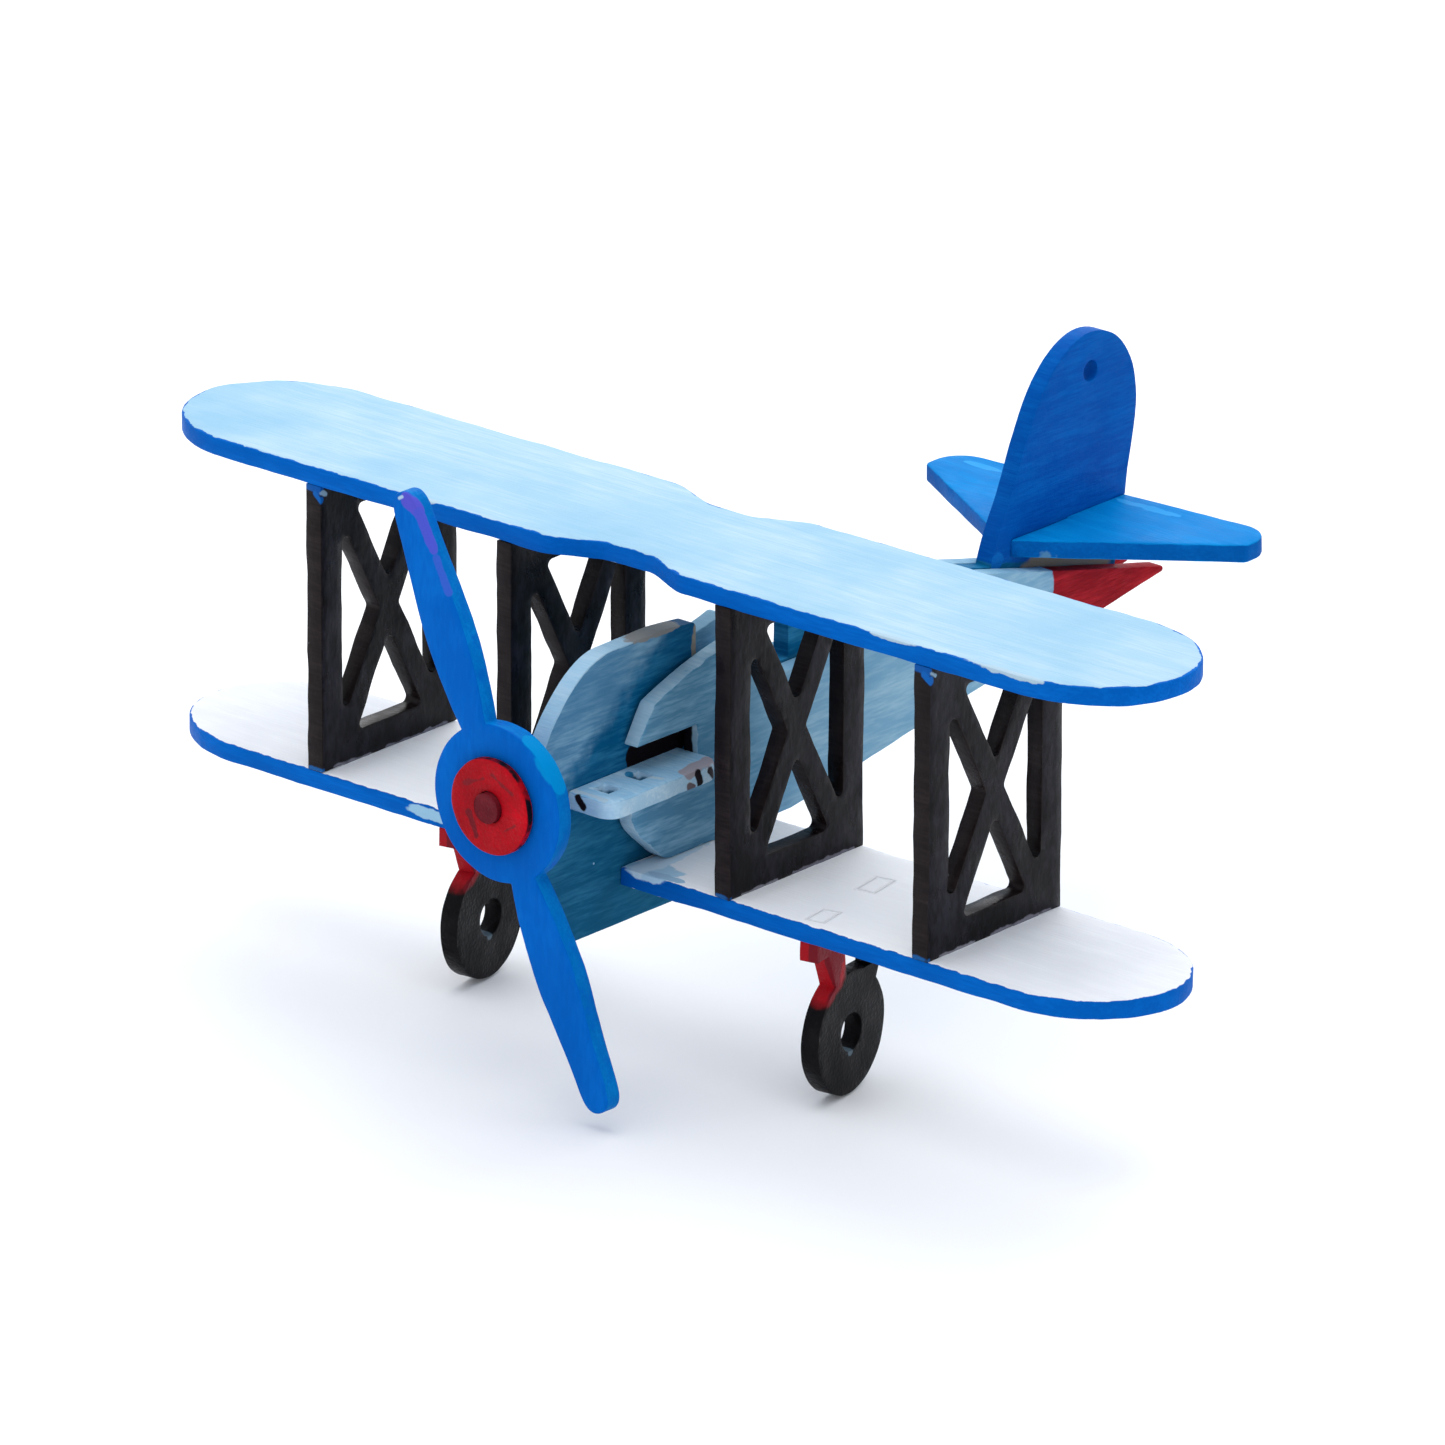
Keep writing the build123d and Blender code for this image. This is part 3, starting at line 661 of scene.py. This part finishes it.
# %% Tailplane
TAIL_BLUES = ("006cb5", "007bc4", "0387cf")
tail_top = (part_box("tailplane")[1].z - level) / MM
tail_paint = acrylic("bright_blue_acrylic_tailplane", TAIL_BLUES, (30, 3, 3), 680,
                     # the darker rim: painted shade on the upright edges
                     rim=(("004f9b", "0058a6", "0365b5"), 0.15, 0.25), specks="479fd6",
                     blots=[((9, 118.5, tail_top), (5.5, 1.0, 0.8), 0.8, "2a96d8"),
                            ((-24, 116.5, tail_top), (4.5, 0.8, 0.8), 0.8, "2a96d8"),
                            ((4.5, 97, 25.2), (3, 1.6, 1.2), 0.8, "5185ae")])
tailplane = take_plate("tailplane")
soften(tailplane)
finish_plate(tailplane, "tailplane", 2, 1.6, tail_paint)

# %% [markdown]
# The propeller is royal blue, with a violet streak along the upper blade's trailing edge. Its side walls are
# painted a lighter blue, and a lighter streak on the hub's upper rim is a painted highlight too. It rides on
# its own body, so its paint turns with it.

# %% Propeller
prop_paint = acrylic("royal_blue_acrylic_propeller", ("0053aa", "005eb9", "0368c4"), (5, 5, 22), 740,
                     # the lighter rim: painted highlight on the side walls
                     rim=(("005aa6", "006ab9", "037bc7"), 0.05, 0.2), relief=0.05,
                     # the first stroke is a painted highlight on the hub's upper rim
                     strokes=[((6, -25, 29), (11.5, -25, 23), 1.6, 0.5, "0084c7"),
                              ((-17.8, -26.5, 61.6), (-15.6, -26.5, 60.6), 1.25, 0.4, "5553c4"),
                              ((-15.2, -26.5, 59.9), (-12.4, -26.5, 55.2), 1.1, 0.5, "4c56c7"),
                              ((-11.8, -26.5, 53.6), (-9.6, -26.5, 49.2), 0.8, 0.5, "365ec4"),
                              ((-19.4, -26.5, 61.6), (-18.7, -26.5, 62.0), 0.18, 0.4, "a7c4db")])
propeller = take_plate("propeller")
soften(propeller, 0.3)
finish_plate(propeller, "propeller", 1, 1.4, prop_paint, "propeller")

# %% [markdown]
# The cap is a thin red disc with dark scrapes, and the pin's end stands out of it. Its side is painted black,
# a painted shadow. Both are small, so their cells are finer and their edges wander more, like whittled wood.

# %% Cap and pin
cap_paint = acrylic("red_acrylic_cap", ("7e0c16", "ae0a18", "c8081c"), (4, 4, 4), 800,
                    # the near-black rim: painted shadow on the cap's side
                    rim=(("0b0a0d", "120f15", "20161c"), 0.02, 0.25), relief=0.14, roughness=(0.3, 0.5),
                    satin=0.06,
                    strokes=[((-5.0, -28.2, 20.0), (-1.0, -28.2, 21.6), 0.35, 0.9, "7e1821"),
                             ((-4.0, -28.2, 15.4), (-2.6, -28.2, 12.2), 0.45, 0.8, "701620"),
                             ((0.6, -28.2, 22.6), (4.6, -28.2, 20.6), 0.3, 0.9, "811c23"),
                             ((2.8, -28.2, 14.0), (5.2, -28.2, 15.6), 0.25, 0.8, "811c23")])
cap = take_plate("propeller_cap")
soften(cap, 0.3)
finish_plate(cap, "propeller_cap", 1, 0.8, cap_paint, amount=0.35)
pin_paint = acrylic("dark_red_acrylic_pin", ("54101a", "701824", "8c2630"), (1.5, 6, 1.5), 830,
                    relief=0.12, roughness=(0.3, 0.5), satin=0.06)
pin = take_plate("propeller_pin")
soften(pin, 0.45)
finish_plate(pin, "propeller_pin", 1, 0.7, pin_paint, amount=0.4)

# %% [markdown]
# The landing gear is black on the wheel and the rear arm. The front leg and its stub are red, down to a
# rounded end that overlaps the wheel, with a tiny white dab at the border. The red is painted darker on the
# face towards +X, a painted shade.

# %% Landing gear
for side, seed in (("port", 860), ("starboard", 920)):
    node = "landing_gear_" + side
    x = GEAR_X[side]
    gear_paint = acrylic("black_acrylic_wheel_" + side, ("040405", "070608", "121012"), (5, 5, 5), seed,
                         specks="807e84", roughness=(0.3, 0.55), relief=0.12,
                         strokes=[((x - 1, WHEEL_Y, -23.5), (x + 1.2, WHEEL_Y, -23.5), 0.8, 0.5, "52646f"),
                                  ((x + 1.4, 18.4, -5.0), (x + 1.4, 19.2, -6.4), 0.4, 0.6, "77757a")],
                         satin=0.08,
                         blots=[((x + 1.2, 3.2, -6.0), (6, 6.4, 7.8), 0.12, "a0121d"),
                                # darker red on the face towards +X: painted shade
                                ((x + 2.6, 3.2, -6.5), (1.2, 6.2, 7.2), 0.3, "701620"),
                                ((x - 0.9, 3.0, -13.6), (0.5, 0.7, 0.5), 0.4, "d2cfd2")])
    gear = take_plate(node)
    cut_tabs(gear, -GEAR_TAB_LEFT, 1)
    soften(gear, 0.5)
    finish_plate(gear, node, 0, 1.2, gear_paint, amount=0.35)
